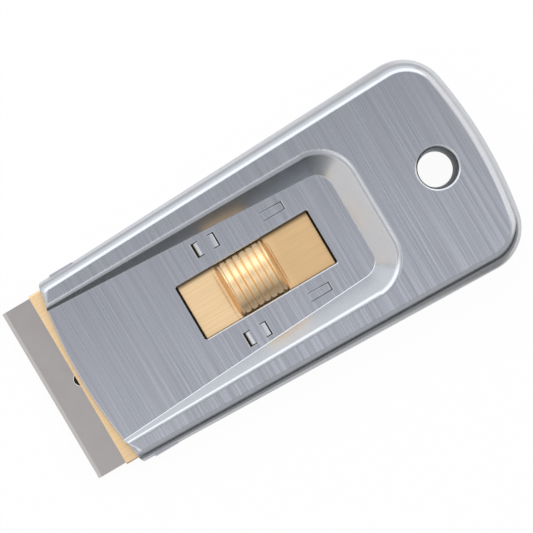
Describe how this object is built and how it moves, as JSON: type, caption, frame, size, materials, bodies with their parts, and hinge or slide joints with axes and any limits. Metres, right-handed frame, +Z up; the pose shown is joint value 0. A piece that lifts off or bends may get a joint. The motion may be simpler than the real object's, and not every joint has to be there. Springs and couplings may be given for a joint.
{
  "type": "razor blade scraper",
  "caption": "Flat pressed-steel razor blade scraper with a brass thumb slide that runs a single-edge blade out of the handle and back, and a hanging hole at the rear.",
  "frame": {"origin": "middle of the part's box, on the surface that the rim of the handle stands on, with the carrier in its working place", "axes": "-X towards the cutting edge, +Y to one side along the cutting edge, +Z up out of the face with the thumb slide"},
  "size_m": [0.1012, 0.047, 0.0093],
  "materials": {
    "shell_steel": "bright plated, brushed across the handle on its flats",
    "plate_steel": "bright plated, lightly brushed",
    "carrier_brass": "pale brass, fine grain along the slide",
    "blade_steel": "ground carbon steel, oiled",
    "spine_aluminium": "rolled, plain"
  },
  "bodies": {
    "handle": {"top_shell": "shell_steel", "back_plate": "plate_steel"},
    "carriage": {"blade_carrier": "carrier_brass", "razor_blade": "blade_steel", "blade_spine": "spine_aluminium"}
  },
  "joints": [
    {"name": "carrier_slide", "type": "slide", "parent": "handle", "child": "carriage", "axis": [-1, 0, 0], "range_m": [-0.0095, 0.0071]}
  ]
}
